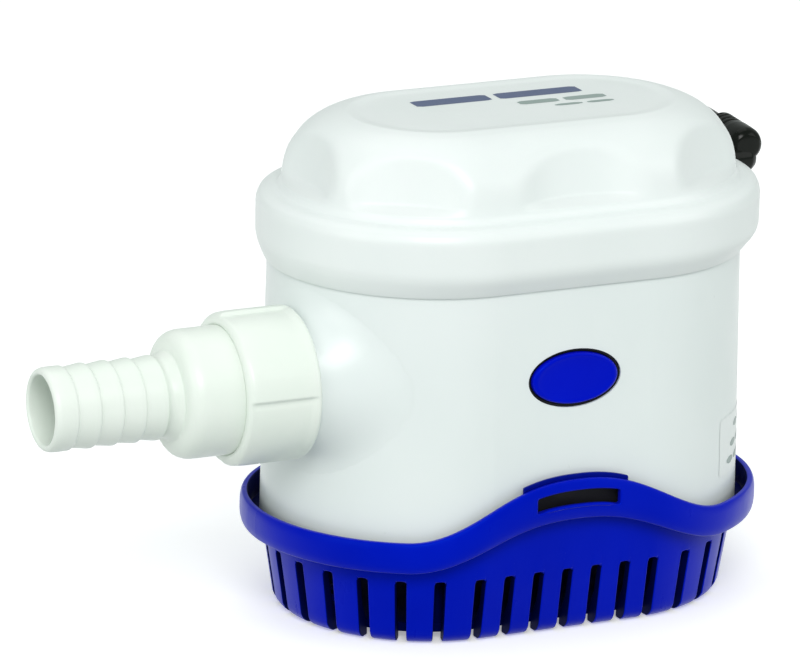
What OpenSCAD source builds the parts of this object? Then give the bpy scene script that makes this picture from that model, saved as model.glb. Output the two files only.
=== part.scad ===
// Automatic submersible bilge pump with a snap-off strainer base and a swivel hose outlet.
// Origin: on the resting plane, under the middle of the oval body.
// +X runs along the body away from the outlet, -Y is the side with the test button, +Z is up.

/* [Body] */
// Distance from the middle to the centre of each round end
end_c = 19.7; // [19.2:0.1:20.2]
// Radius of the round ends at the top of the housing
body_top_r = 36.4; // [36:0.1:36.6]
// Radius of the round ends at the bottom of the housing
body_low_r = 37.3; // [37:0.1:37.4]
// Wall thickness of the moulded shells
wall = 2.4; // [2.2:0.1:2.6]
// Height of the housing's upper edge
housing_top = 88; // [87.5:0.1:88.4]

/* [Lid] */
// Radius of the round ends at the lid's rim
rim_r = 39.9; // [39.5:0.1:40.5]
// Radius of the round ends at the foot of the dome
dome_r = 34.2; // [33.8:0.1:34.6]
// Height of the flat shoulder between rim and dome
shoulder_z = 98; // [97.8:0.1:98.4]
// Height of the top of the dome
dome_top = 115.7; // [115:0.1:116.4]

/* [Strainer] */
// Width of each strainer slot
slot_w = 2.5; // [2.1:0.1:2.8]
// Height of the rounded top of the slots
slot_top = 15.5; // [14.8:0.1:15.9]
// Distance between neighbouring slots on the long sides
slot_pitch = 7.3; // [7:0.1:7.5]
// Number of slots on each long side
side_slots = 7; // [5:2:7]
// Number of slots around each round end
end_slots = 11; // [9:2:11]
// Distance between the two screw holes in the floor
screw_spacing = 84; // [82:1:86]
// Radius of each screw hole
screw_r = 2.3; // [2:0.1:2.5]

/* [Release band] */
// Radius of the band's round ends
band_r = 41; // [40.8:0.1:41.4]
// Distance from the middle to the centre of the band's round ends
band_c = 20.6; // [20.4:0.1:21]
// Thickness of the band
band_t = 1.8; // [1.5:0.1:1.8]
// Height of the band's lower edge away from the wave
band_low = 18.8; // [18.4:0.1:19.2]
// Height of the band's upper edge away from the wave
band_high = 26; // [25.5:0.1:26.5]
// How far the wave lifts the band over the latch
wave_rise = 12; // [11.6:0.1:12.4]

/* [Outlet] */
// Height of the outlet's axis
outlet_z = 59; // [58.6:0.1:59.4]
// Sideways place of the outlet's axis
outlet_y = -10; // [-10.5:0.1:-9.5]
// Outside radius of the hose barb
barb_r = 9.6; // [9.5:0.1:9.8]
// Radius of the waterway in the barb
barb_bore_r = 7.8; // [7.6:0.1:7.9]
// Outside radius of the union nut
nut_r = 17.5; // [17.3:0.1:17.7]

/* [Test button] */
// Length of the oval button
button_l = 22.6; // [22:0.1:23]
// Height of the oval button
button_h = 13; // [12.6:0.1:13.4]
// How far the button stands out of the housing
button_proud = 0.7; // [0.5:0.1:1]

/* [Lead] */
// Diameter of the jacketed lead
cord_d = 6; // [5.8:0.1:6.2]

/* [Hidden] */
$fn = 64;
eps = 0.01;
gap = 0.3;

// Strainer
foot_r = 32.2;
floor_low = 1.6;
floor_high = 3.8;
foot_inner_r = 29.4;
basket_turn = [[foot_r, 0], [foot_r + 1.8, 2.2], [36.2, 15.5], [37.5, 34]];
basket_inner = [[30.2, floor_high], [32, 6], [34, 15.5], [35.6, 40]];
joint_z = 20.5;
end_pitch = 14.3;
slot_from = 29.4;
slot_reach = 13.6;
pad_r = 6;
post_x = 28;
post_y = 25.6;

// Wave of the band and of the edge between base and housing
wave_half = 40;
wave_step = 4;
low_rise = wave_rise - 2.2;
function bump(x) = 0.5 + 0.5 * cos(180 * pow(min(1, abs(x) / wave_half), 1.2));
function wave(z, rise) = [for (x = [-wave_half:wave_step:wave_half]) [x, z + rise * bump(x)]];
window_l = 20;
window_h = 4;
window_low = band_low + wave_rise + 0.9;
latch_l = 26;
latch_t = 1;
latch_low = band_high - 2.4;
latch_high = band_high + 0.9;

// Housing
floor_z = 31;
floor_t = 2.5;
motor_x = -6;
motor_y = 4;
motor_r = 17.5;
motor_low = 37;
motor_high = 82;
riser_x = -40.5;
riser_r = 8.6;
float_x = 36;
float_r = 13.4;
float_low = 17;
float_h = 15;
chamber_r = 14.2;
chamber_low = 11;
chamber_high = 52;
stem_r = 2;

// Finger scoops around the dome
lid_x = 0.8;
scoop_depth_r = 30.2;
side_scoop_r = 30;
end_scoop_r = 26;
corner_scoop_a = 55;

// Pump wheel and motor
shaft_r = 1.6;
running = 0.05;
impeller_r = 17;
impeller_low = 17;
volute_r = 21;
volute_low = 12;

// Outlet, measured along X from the body outwards
boss_r = 15.2;
boss_bore_r = 9.6;
boss_end = -70.2;
nut_back = -57.5;
nut_front = -75.6;
collar_r = 14.6;
collar_front = -88.2;
barb_front = -118.6;
flap_x = -63.6;
flap_r = 8.3;
flap_t = 1.4;
flap_pivot = 7.6;
seat_r = 7.9;
pin_r = 0.35;

// Rating label
label_low = 30.4;
label_h = 13.8;

// Button
button_z = 60.9;
button_face = -36.7 - button_proud;
button_back = -32;
board_y = -26.4;

// Lead: the first route leaves the gland and comes down behind the pump,
// the second leaves the coil and ends at the bare conductors.
gland_x = 66.2;
gland_y = 8;
gland_z = 97;
gland_l = 13.2;
gland_r = 4.2;
stub_x = 55;
gland_tilt = 6;
coil_x = 48;
coil_y = 94;
coil_r = 30;
coil_h = 24;
lead_route = [[66.2, 21, 98.6], [66.2, 26, 99], [66.5, 31, 99.1], [67.5, 38.2, 98.2], [68.6, 44.5, 95.6],
    [69.8, 49.9, 91.5], [70.8, 54, 86.1], [71.4, 56.4, 80.5], [72.2, 59.6, 70.3], [73, 62.8, 60],
    [73.8, 65.9, 49.8], [74.6, 69.1, 39.6], [75.1, 71.5, 34], [75.9, 75.3, 28.9], [76.9, 80.6, 24.7],
    [77.7, 87.3, 21.9], [78, 94, 21]];
tail_route = [[18, 94, 3], [17.8, 88, 3], [17.2, 82, 3], [16.6, 76, 3], [16, 70, 3]];

// ---------------------------------------------------------------- shared shapes

// Oval solid turned around the two end centres and drawn straight between them
module oval_turn(outline, c = end_c) {
    n = len(outline) - 1;
    for (s = [-1, 1]) {
        translate([s * c, 0, 0])
        rotate_extrude()
        polygon(concat([[0, outline[0][1]]], outline, [[0, outline[n][1]]]));
    }
    translate([-c, 0, 0])
    rotate([90, 0, 90])
    linear_extrude(2 * c)
    polygon(concat(outline, [for (i = [n:-1:0]) [-outline[i][0], outline[i][1]]]));
}

module oval(z1, z2, r1, r2, c = end_c) {
    oval_turn([[r1, z1], [r2, z2]], c);
}

// Tube of straight round wall along X
module x_tube(x1, x2, r) {
    translate([x1, outlet_y, outlet_z])
    rotate([0, 90, 0])
    cylinder(h = x2 - x1, r = r);
}

module x_cone(x1, x2, r1, r2) {
    translate([x1, outlet_y, outlet_z])
    rotate([0, 90, 0])
    cylinder(h = x2 - x1, r1 = r1, r2 = r2);
}

// Flat wave outline seen from the front, pulled through the whole depth
module wave_slab(low, high) {
    rotate([90, 0, 0])
    linear_extrude(120, center = true)
    polygon(concat([[-80, low[0][1]]], low, [[80, low[0][1]], [80, high[0][1]]],
        [for (i = [len(high) - 1:-1:0]) high[i]], [[-80, high[0][1]]]));
}

module above_joint(lift) {
    wave_slab(wave(joint_z + lift, wave_rise), wave(120, 0));
}

module ellipse_prism(l, h, y1, y2) {
    translate([0, y2, button_z])
    rotate([90, 0, 0])
    linear_extrude(y2 - y1)
    polygon([for (a = [0:7.5:352.5]) [l / 2 * cos(a), h / 2 * sin(a)]]);
}

// Tube swept along a route: each ring lies across the route at its point
function unit(v) = v / norm(v);
function heading(p, i) = unit(p[min(i + 1, len(p) - 1)] - p[max(i - 1, 0)]);
function ring(p, i, r, sides) =
    let (t = heading(p, i), u = unit(cross(t, [0.31, -0.17, 0.94])), w = cross(t, u))
    [for (k = [0:sides - 1]) p[i] + r * (cos(360 * k / sides) * u + sin(360 * k / sides) * w)];

module sweep(p, r, sides) {
    n = len(p);
    last = (n - 1) * sides;
    polyhedron(
        points = [for (i = [0:n - 1]) each ring(p, i, r, sides)],
        faces = concat(
            [[for (k = [0:sides - 1]) k]],
            [for (i = [0:n - 2]) for (k = [0:sides - 1])
                [i * sides + k, (i + 1) * sides + k, (i + 1) * sides + (k + 1) % sides,
                    i * sides + (k + 1) % sides]],
            [[for (k = [sides - 1:-1:0]) last + k]]));
}

// ---------------------------------------------------------------- strainer base

module slot_cut() {
    translate([-slot_w / 2, -slot_from - slot_reach, -1])
    cube([slot_w, slot_reach, slot_top - slot_w / 2 + 1]);
    translate([0, -slot_from, slot_top - slot_w / 2])
    rotate([90, 0, 0])
    cylinder(h = slot_reach, r = slot_w / 2, $fn = 32);
}

module strainer_base() {
    color("mediumblue")
    difference() {
        union() {
            difference() {
                oval_turn(basket_turn);
                oval_turn(basket_inner);
                oval(-1, floor_low, foot_inner_r, foot_inner_r);
                above_joint(-gap);
            }
            for (x = [-screw_spacing / 2, 0, screw_spacing / 2]) {
                translate([x, 0, 0])
                cylinder(h = floor_low + 1, r = pad_r);
            }
            for (x = [-post_x, post_x], y = [-post_y, post_y]) {
                translate([x, y, floor_high - 1])
                cylinder(h = floor_z - gap - floor_high + 1, r = 2.5);
            }
        }
        for (side = [0, 180]) {
            rotate([0, 0, side]) {
                for (i = [0:side_slots - 1]) {
                    translate([(i - (side_slots - 1) / 2) * slot_pitch, 0, 0])
                    slot_cut();
                }
                for (i = [0:end_slots - 1]) {
                    translate([-end_c, 0, 0])
                    rotate([0, 0, -90 + (i - (end_slots - 1) / 2) * end_pitch])
                    slot_cut();
                }
            }
        }
        for (s = [-1, 1]) {
            translate([s * screw_spacing / 2, 0, -1])
            cylinder(h = 10, r = screw_r);
        }
    }
}

// Half of the squeeze band that rings the base, on the side of y_sign
module release_band(y_sign) {
    color("blue")
    difference() {
        intersection() {
            oval(0, 60, band_r, band_r, band_c);
            wave_slab(wave(band_low, low_rise), wave(band_high, wave_rise));
            translate([-80, y_sign > 0 ? gap / 2 : -60, 0])
            cube([160, 60 - gap / 2, 60]);
        }
        oval(-1, 61, band_r - band_t, band_r - band_t, band_c);
        translate([-window_l / 2, y_sign > 0 ? 35 : -50, window_low])
        cube([window_l, 15, window_h]);
    }
}

module release_band_front() {
    release_band(-1);
}

module release_band_rear() {
    release_band(1);
}

// Latch tab behind the crest of the band
module latch(y_sign) {
    y0 = band_r - band_t - latch_t;
    color("navy")
    intersection() {
        translate([-latch_l / 2, y_sign > 0 ? y0 : -y0 - latch_t, 0])
        cube([latch_l, latch_t, 60]);
        wave_slab(wave(latch_low, wave_rise), wave(latch_high, wave_rise));
    }
}

module latch_front() {
    latch(-1);
}

module latch_rear() {
    latch(1);
}

// ---------------------------------------------------------------- housing

module pump_housing() {
    inner_low = body_low_r - wall;
    inner_top = body_top_r - wall;
    color("whitesmoke")
    difference() {
        union() {
            difference() {
                union() {
                    oval(joint_z - 1, housing_top, body_low_r, body_top_r);
                    x_cone(nut_back + 0.4, -44, boss_r, boss_r + 1.4);
                }
                oval(floor_z + floor_t, housing_top + 1, inner_low, inner_top);
                oval(joint_z - 2, floor_z, inner_low, inner_low);
            }
            x_tube(boss_end, -38, boss_r);
            translate([riser_x, outlet_y, floor_z])
            cylinder(h = outlet_z + 12 - floor_z, r = riser_r + 2.2);
            translate([float_x, 0, chamber_low])
            cylinder(h = chamber_high - chamber_low, r = chamber_r + 2);
            ellipse_prism(button_l + 4.4, button_h + 4.4, -36.4, -31);
        }
        difference() {
            oval(joint_z - 2, 60, 80, 80);
            above_joint(0);
            oval(0, 60, inner_low - 2, inner_low - 2);
        }
        translate([float_x, 0, chamber_low - 1])
        cylinder(h = chamber_high - 2 - chamber_low + 1, r = chamber_r);
        translate([riser_x, outlet_y, floor_z - 1])
        cylinder(h = outlet_z - floor_z + 8, r = riser_r);
        x_tube(boss_end - 1, flap_x + flap_t + 0.4, boss_bore_r);
        x_tube(flap_x, riser_x, seat_r);
        translate([motor_x, motor_y, floor_z - 1])
        cylinder(h = floor_t + 2, r = shaft_r + running);
        ellipse_prism(button_l + 2 * gap, button_h + 2 * gap, -50, -28.5);
    }
    color("whitesmoke")
    translate([float_x, 0, float_low + 1])
    cylinder(h = chamber_high - float_low - 2, r = stem_r, $fn = 32);
}

module lid() {
    outer = [[body_top_r + 0.7, 82.1], [rim_r, 86.9], [rim_r, shoulder_z - 3.4],
        [rim_r - 0.6, shoulder_z - 1.6],
        [rim_r - 1.9, shoulder_z - 0.4], [rim_r - 3.6, shoulder_z], [dome_r + 0.5, shoulder_z + 0.3],
        [dome_r, shoulder_z + 2], [dome_r - 0.4, shoulder_z + 5.8], [dome_r - 1.5, shoulder_z + 9.2],
        [dome_r - 4.8, dome_top - 4.1], [dome_r - 8.3, dome_top - 1.9], [dome_r - 11.6, dome_top - 0.6],
        [dome_r - 14.6, dome_top]];
    inner = [[32, 90 - eps], [32, 96], [28.6, 99], [27.6, 104], [25, 108.6], [18.4, 111.8]];
    color("white")
    difference() {
        translate([lid_x, 0, 0])
        difference() {
            oval_turn(outer);
            oval(dome_top - 0.6, dome_top + 1, 17.8, 18.4);
            for (s = [-1, 1]) {
                scoop(0, s * (scoop_depth_r + side_scoop_r), side_scoop_r);
                for (a = [-corner_scoop_a, 0, corner_scoop_a]) {
                    scoop(s * (end_c + (scoop_depth_r + end_scoop_r) * cos(a)),
                        (scoop_depth_r + end_scoop_r) * sin(a), end_scoop_r);
                }
            }
        }
        oval(81, 90, body_top_r + 0.3, body_top_r + 0.3);
        oval_turn(inner);
    }
}

// Finger scoop in the side of the dome, flat at its bottom
module scoop(x, y, r) {
    intersection() {
        translate([x, y, 108])
        sphere(r);
        translate([-100, -100, shoulder_z + 2.6])
        cube([200, 200, 30]);
    }
}

module lid_seal() {
    r = 0.9;
    color("dimgray") {
        difference() {
            oval(housing_top + 0.1, housing_top + 0.1 + 2 * r, 35.1 + r, 35.1 + r);
            oval(housing_top, housing_top + 3, 35.1 - r, 35.1 - r);
        }
    }
}

// Passage from the pump wheel to the foot of the riser
module duct(z1, z2, r) {
    translate([riser_x, outlet_y, z1]) {
        cylinder(h = z2 - z1, r = r);
        translate([0, -r, 0])
        cube([22, 2 * r, z2 - z1]);
    }
}

module volute() {
    color("white")
    difference() {
        union() {
            translate([motor_x, motor_y, volute_low])
            cylinder(h = floor_z - volute_low, r = volute_r);
            duct(volute_low + 3, floor_z, riser_r + 2);
        }
        translate([motor_x, motor_y, volute_low + 2])
        cylinder(h = 30, r = volute_r - 2.2);
        duct(volute_low + 5, floor_z + 1, riser_r - 0.2);
        translate([motor_x, motor_y, volute_low - 1])
        cylinder(h = 5, r = 9.5);
    }
}

// ---------------------------------------------------------------- float switch

// Ring and cross bar that keep the float in its chamber
module float_retainer() {
    color("white")
    translate([float_x, 0, chamber_low + 1.5]) {
        round_ring(2, chamber_r - 0.1, chamber_r - 2.2);
        translate([2.2 - chamber_r, -1.5, 0])
        cube([2 * chamber_r - 4.4, 3, 2]);
    }
}

module float() {
    color("royalblue")
    translate([float_x, 0, float_low])
    difference() {
        cylinder(h = float_h, r = float_r);
        translate([0, 0, -1])
        cylinder(h = float_h + 2, r = stem_r + gap);
        translate([0, 0, float_h - 3])
        cylinder(h = 4, r = 6);
    }
}

module float_magnet() {
    color("dimgray")
    translate([float_x, 0, float_low + float_h - 3])
    difference() {
        cylinder(h = 2.6, r = 6);
        translate([0, 0, -1])
        cylinder(h = 5, r = stem_r + gap);
    }
}

// ---------------------------------------------------------------- motor and pump wheel

module on_shaft(z) {
    translate([motor_x, motor_y, z])
    children();
}

module round_ring(h, r_out, r_in) {
    difference() {
        cylinder(h = h, r = r_out);
        translate([0, 0, -1])
        cylinder(h = h + 2, r = r_in);
    }
}

module shaft() {
    color("silver")
    on_shaft(impeller_low - 1.5)
    cylinder(h = 69.5, r = shaft_r);
}

module armature_core() {
    color("slategray")
    on_shaft(48)
    difference() {
        cylinder(h = 18, r = 12);
        translate([0, 0, -1])
        cylinder(h = 20, r = shaft_r);
        for (a = [0:120:240]) {
            rotate([0, 0, a])
            translate([4, -2.4, -1])
            cube([5, 4.8, 20]);
            rotate([0, 0, a])
            translate([8, -0.9, -1])
            cube([6, 1.8, 20]);
        }
    }
}

module windings() {
    color("chocolate") {
        on_shaft(44.2)
        round_ring(3.8, 10.6, shaft_r);
        on_shaft(66)
        round_ring(3.8, 10.6, shaft_r);
    }
}

module commutator() {
    color("peru")
    on_shaft(70.2)
    round_ring(8, 4, shaft_r);
}

module impeller() {
    color("mediumblue")
    on_shaft(impeller_low)
    difference() {
        union() {
            cylinder(h = 10, r = 4.4);
            translate([0, 0, 8])
            cylinder(h = 2, r = impeller_r);
            for (a = [0:60:300]) {
                rotate([0, 0, a])
                translate([3, 0, 0])
                rotate([0, 0, 28])
                cube([13, 1.6, 9]);
            }
        }
        translate([0, 0, -1])
        cylinder(h = 12, r = shaft_r);
    }
}

module motor_can() {
    color("silver")
    on_shaft(motor_low)
    difference() {
        cylinder(h = motor_high - motor_low, r = motor_r);
        translate([0, 0, 1.4])
        cylinder(h = 60, r = motor_r - 1.3);
        translate([0, 0, -1])
        cylinder(h = 4, r = 4 + running);
    }
}

module motor_end_cap() {
    color("ivory")
    on_shaft(motor_high)
    difference() {
        union() {
            cylinder(h = 2, r = motor_r);
            translate([0, 0, 2])
            cylinder(h = 2.6, r = 7);
        }
        translate([0, 0, -1])
        cylinder(h = 7, r = 4 + running);
    }
}

module magnets() {
    color("darkslategray")
    on_shaft(42)
    difference() {
        cylinder(h = 30, r = motor_r - 1.3);
        translate([0, 0, -1])
        cylinder(h = 32, r = 12.8);
        translate([-30, -6, -1])
        cube([60, 12, 32]);
    }
}

module upper_bearing() {
    color("goldenrod")
    on_shaft(motor_high + 1)
    round_ring(3, 4, shaft_r + running);
}

module lower_bearing() {
    color("goldenrod")
    on_shaft(motor_low)
    round_ring(3, 4, shaft_r + running);
}

module shaft_seal() {
    color("dimgray")
    on_shaft(floor_z + floor_t)
    round_ring(3, 6, shaft_r + running);
}

module brushes() {
    color("dimgray")
    for (s = [-1, 1]) {
        on_shaft(73)
        translate([s * 6.25 - 2, -1.6, 0])
        cube([4, 3.2, 3.2]);
    }
}

module brush_springs() {
    color("silver")
    for (s = [-1, 1]) {
        on_shaft(74.6)
        translate([s > 0 ? 8.3 : -14.8, 0, 0])
        rotate([0, 90, 0])
        round_ring(6.5, 1.4, 0.8);
    }
}

// ---------------------------------------------------------------- electronics and button

module control_board() {
    color("darkgreen")
    translate([-17, board_y, 46])
    cube([34, 1.6, 32]);
}

module board_parts() {
    color("black") {
        translate([-13, board_y + 1.6, 66])
        cube([10, 3, 8]);
        translate([2, board_y + 1.6, 66])
        cube([8, 3, 8]);
        translate([-13, board_y + 1.6, 50])
        cube([5, 2, 6]);
        translate([9, board_y + 1.6, 53])
        rotate([-90, 0, 0])
        cylinder(h = 7, r = 3, $fn = 32);
    }
}

module test_button() {
    color("blue") {
        ellipse_prism(button_l, button_h, button_face, button_back);
    }
}

module button_spring() {
    color("silver")
    translate([0, board_y, button_z])
    rotate([90, 0, 0])
    round_ring(board_y - button_back, 4, 3);
}

// ---------------------------------------------------------------- outlet

module union_nut() {
    color("honeydew")
    difference() {
        union() {
            x_tube(nut_front, nut_back, nut_r - 0.8);
            intersection() {
                x_tube(nut_front + 0.6, nut_back, nut_r);
                union() {
                    for (a = [0:60:300]) {
                        translate([nut_front, outlet_y, outlet_z])
                        rotate([a, 0, 0])
                        translate([0, -4.6, 0])
                        cube([30, 9.2, 30]);
                    }
                }
            }
        }
        x_tube(nut_front + 2.4, nut_back + 1, boss_r + gap);
        x_tube(nut_front - 1, nut_back, collar_r + gap);
    }
}

module hose_barb() {
    collar_back = boss_end - 0.9;
    ridge = 5.6;
    color("honeydew")
    difference() {
        union() {
            x_tube(collar_front + 3, collar_back, collar_r);
            x_cone(collar_front + 0.8, collar_front + 3, collar_r - 1.6, collar_r);
            x_cone(collar_front, collar_front + 0.8, collar_r - 3.4, collar_r - 1.6);
            x_tube(collar_back - 1.8, collar_back, boss_r);
            x_tube(barb_front + 1, collar_front + 3, barb_r - 0.7);
            x_cone(barb_front, barb_front + 1, barb_r - 1, barb_r - 0.1);
            x_tube(barb_front + 1, barb_front + 7.4, barb_r - 0.1);
            for (i = [1:4]) {
                x0 = barb_front + 2 + i * ridge;
                x_cone(x0, x0 + ridge, barb_r - 0.5, barb_r + 0.1);
            }
        }
        x_tube(barb_front - 1, -73, barb_bore_r);
        x_cone(collar_front - 1, collar_front + 3, barb_bore_r, 10.4);
        x_tube(collar_front + 3 - eps, collar_back + 1, 10.4);
    }
}

module outlet_o_ring() {
    color("black")
    translate([boss_end - 0.9, outlet_y, outlet_z])
    rotate([0, 90, 0])
    round_ring(0.9, 13.4, 11.6);
}

module check_flap() {
    color("dimgray")
    difference() {
        union() {
            x_tube(flap_x, flap_x + flap_t, flap_r);
            translate([flap_x - 0.2, outlet_y - 2, outlet_z + flap_pivot - 2])
            cube([flap_t + 0.2, 4, 2.7]);
        }
        translate([flap_x + flap_t / 2, outlet_y - 12, outlet_z + flap_pivot])
        rotate([-90, 0, 0])
        cylinder(h = 24, r = pin_r + running, $fn = 24);
    }
}

module flap_pin() {
    color("silver")
    translate([flap_x + flap_t / 2, outlet_y - 5.8, outlet_z + flap_pivot])
    rotate([-90, 0, 0])
    cylinder(h = 11.6, r = pin_r, $fn = 24);
}

// ---------------------------------------------------------------- labels

// Rating label around the round end
module rating_label() {
    slope = (body_top_r - body_low_r) / (housing_top - joint_z + 1);
    r1 = body_low_r + slope * (label_low - joint_z + 1);
    r2 = r1 + slope * label_h;
    color("snow")
    intersection() {
        translate([end_c, 0, label_low])
        difference() {
            cylinder(h = label_h, r1 = r1 + 0.16, r2 = r2 + 0.16);
            translate([0, 0, -1])
            cylinder(h = label_h + 2, r1 = r1 + 0.02 - slope, r2 = r2 + 0.02 + slope);
        }
        translate([end_c, 0, 0])
        linear_extrude(60)
        polygon([[0, 0], [32.5, -60], [60, -60], [60, -8]]);
    }
}

module top_label() {
    color("lightsteelblue")
    translate([lid_x, 0, 0])
    oval(dome_top - 0.6, dome_top - 0.45, 14.6, 14.6, 16);
}

// ---------------------------------------------------------------- lead

module cable_gland() {
    color("black")
    difference() {
        union() {
            translate([gland_x, gland_y, gland_z])
            sphere(gland_r);
            translate([gland_x, gland_y, gland_z])
            rotate([gland_tilt - 90, 0, 0])
            cylinder(h = gland_l, r1 = gland_r, r2 = gland_r - 0.2);
            translate([stub_x, gland_y + 1.5, gland_z - 3.4])
            rotate([0, 90, 0])
            cylinder(h = gland_x - stub_x, r = gland_r - 0.2);
        }
        translate([lid_x, 0, 0])
        oval(70, 120, rim_r, rim_r);
    }
}

module cord() {
    color("black") {
        sweep(lead_route, cord_d / 2, 8);
        sweep(tail_route, cord_d / 2, 8);
    }
}

module cord_coil() {
    color("black")
    translate([coil_x, coil_y, 0])
    rotate_extrude()
    polygon([[coil_r - cord_d / 2, 0], [coil_r + cord_d / 2, 0], [coil_r + cord_d / 2, coil_h],
        [coil_r - cord_d / 2, coil_h]]);
}

module core(i) {
    x = 16;
    sweep([[x + 1.2 * i, 71, 3], [x + 2.4 * i, 66, 2.4], [x + 5 * i, 58, 1.4], [x + 8 * i, 50, 1.2]], 1, 8);
}

module core_brown() {
    color("saddlebrown")
    core(-1);
}

module core_striped() {
    color("tan")
    core(0);
}

module core_black() {
    color("black")
    core(1);
}

strainer_base();
release_band_front();
release_band_rear();
latch_front();
latch_rear();
pump_housing();
lid();
lid_seal();
volute();
float_retainer();
float();
float_magnet();
shaft();
armature_core();
windings();
commutator();
impeller();
motor_can();
motor_end_cap();
magnets();
upper_bearing();
lower_bearing();
shaft_seal();
brushes();
brush_springs();
control_board();
board_parts();
test_button();
button_spring();
union_nut();
hose_barb();
outlet_o_ring();
check_flap();
flap_pin();
cable_gland();
rating_label();
top_label();
cord();
cord_coil();
core_brown();
core_striped();
core_black();
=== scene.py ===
import math

import bmesh
import bpy
from mathutils import Matrix, Vector


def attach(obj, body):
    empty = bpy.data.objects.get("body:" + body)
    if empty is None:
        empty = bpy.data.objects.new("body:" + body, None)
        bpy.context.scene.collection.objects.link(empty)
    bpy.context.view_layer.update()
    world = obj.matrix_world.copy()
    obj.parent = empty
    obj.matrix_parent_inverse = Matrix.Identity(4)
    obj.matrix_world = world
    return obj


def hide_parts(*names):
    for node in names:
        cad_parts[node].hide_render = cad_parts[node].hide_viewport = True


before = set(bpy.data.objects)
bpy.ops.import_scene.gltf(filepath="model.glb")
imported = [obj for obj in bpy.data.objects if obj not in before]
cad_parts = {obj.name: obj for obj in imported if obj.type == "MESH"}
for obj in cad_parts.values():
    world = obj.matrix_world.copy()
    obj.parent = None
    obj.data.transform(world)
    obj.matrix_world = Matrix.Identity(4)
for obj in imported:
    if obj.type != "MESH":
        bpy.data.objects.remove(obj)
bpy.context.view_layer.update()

MM = 0.001
rad = math.radians

# ---------------------------------------------------------------- camera

scene = bpy.context.scene
cam_data = bpy.data.cameras.new("camera")
cam = bpy.data.objects.new("camera", cam_data)
scene.collection.objects.link(cam)
scene.camera = cam
right = Vector((0.90265456, -0.42989008, 0.02023053))
up = Vector((0.10297199, 0.26137831, 0.95972816))
forward = Vector((0.41786544, 0.86421982, -0.28020096))
place = Matrix((right, up, -forward)).transposed().to_4x4()
place.translation = Vector((-646.018, -1282.153, 479.514)) * MM
cam.matrix_world = place
cam_data.lens = 293.18
cam_data.sensor_width = 36
cam_data.clip_start = 0.05
cam_data.clip_end = 30

# ---------------------------------------------------------------- mesh helpers


def piece(name, verts, faces, body, slot, mat, replaces=(), smooth=True, merge=0.002):
    """New object from points in mm, riding on a body; points closer than merge become one."""
    me = bpy.data.meshes.new(name)
    me.from_pydata([(x * MM, y * MM, z * MM) for x, y, z in verts], [], faces)
    bm = bmesh.new()
    bm.from_mesh(me)
    if merge:
        bmesh.ops.remove_doubles(bm, verts=bm.verts, dist=merge * MM)
        bmesh.ops.dissolve_degenerate(bm, edges=bm.edges, dist=1e-7)
    bmesh.ops.recalc_face_normals(bm, faces=bm.faces)
    for face in bm.faces:
        face.smooth = smooth
    bm.to_mesh(me)
    bm.free()
    ob = bpy.data.objects.new(name, me)
    scene.collection.objects.link(ob)
    me.materials.append(mat)
    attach(ob, body)
    if replaces:
        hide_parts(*replaces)
    return ob


def grid(rows, close_u=True, close_v=False):
    """Quads between rows of points of equal length."""
    n, m = len(rows), len(rows[0])
    verts = [p for row in rows for p in row]
    faces = []
    for i in range(n if close_v else n - 1):
        for j in range(m if close_u else m - 1):
            a, b = i, (i + 1) % n
            c, d = j, (j + 1) % m
            faces.append((a * m + c, a * m + d, b * m + d, b * m + c))
    return verts, faces


def joined(*parts):
    """Several (points, faces) as one."""
    verts, faces = [], []
    for part_verts, part_faces in parts:
        start = len(verts)
        verts += part_verts
        faces += [tuple(i + start for i in face) for face in part_faces]
    return verts, faces


def soften(ob, width, angle=35, segments=2):
    """Rounded edges, with their shading kept clean on the flat parts."""
    mod = ob.modifiers.new("edges", "BEVEL")
    mod.width = width * MM
    mod.segments = segments
    mod.limit_method = "ANGLE"
    mod.angle_limit = rad(angle)
    mod.harden_normals = True
    mod.miter_outer = "MITER_ARC"


def ease(a, b, x):
    """Smooth step from 0 at a to 1 at b."""
    t = max(0.0, min(1.0, (x - a) / (b - a)))
    return t * t * (3 - 2 * t)


def fillet(points, radius, steps=5):
    """Round the corners of an open outline; radius is one number or one for each point."""
    out = [points[0]]
    for i in range(1, len(points) - 1):
        r = radius[i] if isinstance(radius, (list, tuple)) else radius
        before, corner, after = (Vector(points[k]) for k in (i - 1, i, i + 1))
        a, b = (before - corner), (after - corner)
        d = min(r, a.length * 0.48, b.length * 0.48)
        if d < 1e-4:
            out.append(tuple(corner))
            continue
        start, end = corner + a.normalized() * d, corner + b.normalized() * d
        for k in range(steps + 1):
            t = k / steps
            out.append(tuple(start * (1 - t) ** 2 + corner * 2 * t * (1 - t) + end * t * t))
    out.append(points[-1])
    return out


def refine(points, step):
    """The same outline with its long stretches cut into pieces of about step."""
    out = [points[0]]
    for p, q in zip(points[:-1], points[1:]):
        n = max(1, int(math.dist(p, q) / step))
        for k in range(1, n + 1):
            t = k / n
            out.append(tuple(a + (b - a) * t for a, b in zip(p, q)))
    return out


def turn(k, n):
    """Cosine and sine of the k-th of n even steps round a circle."""
    angle = 2 * math.pi * k / n
    return math.cos(angle), math.sin(angle)


def turned(x, y, outline, n):
    """Surface of (r, z) points turned about the upright axis through x, y."""
    rows = []
    for r, z in outline:
        rows.append([(x + r * turn(k, n)[0], y + r * turn(k, n)[1], z) for k in range(n)])
    return grid(rows)


# Every level section of the pump is a long oval: two half turns about centres at x = -END_C and END_C,
# joined by straight sides. A place round it is u, the length from the middle of the front side, measured
# on an oval whose half turns have the radius OVAL_R.
END_C = 19.7
OVAL_R = 37.0


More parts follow.
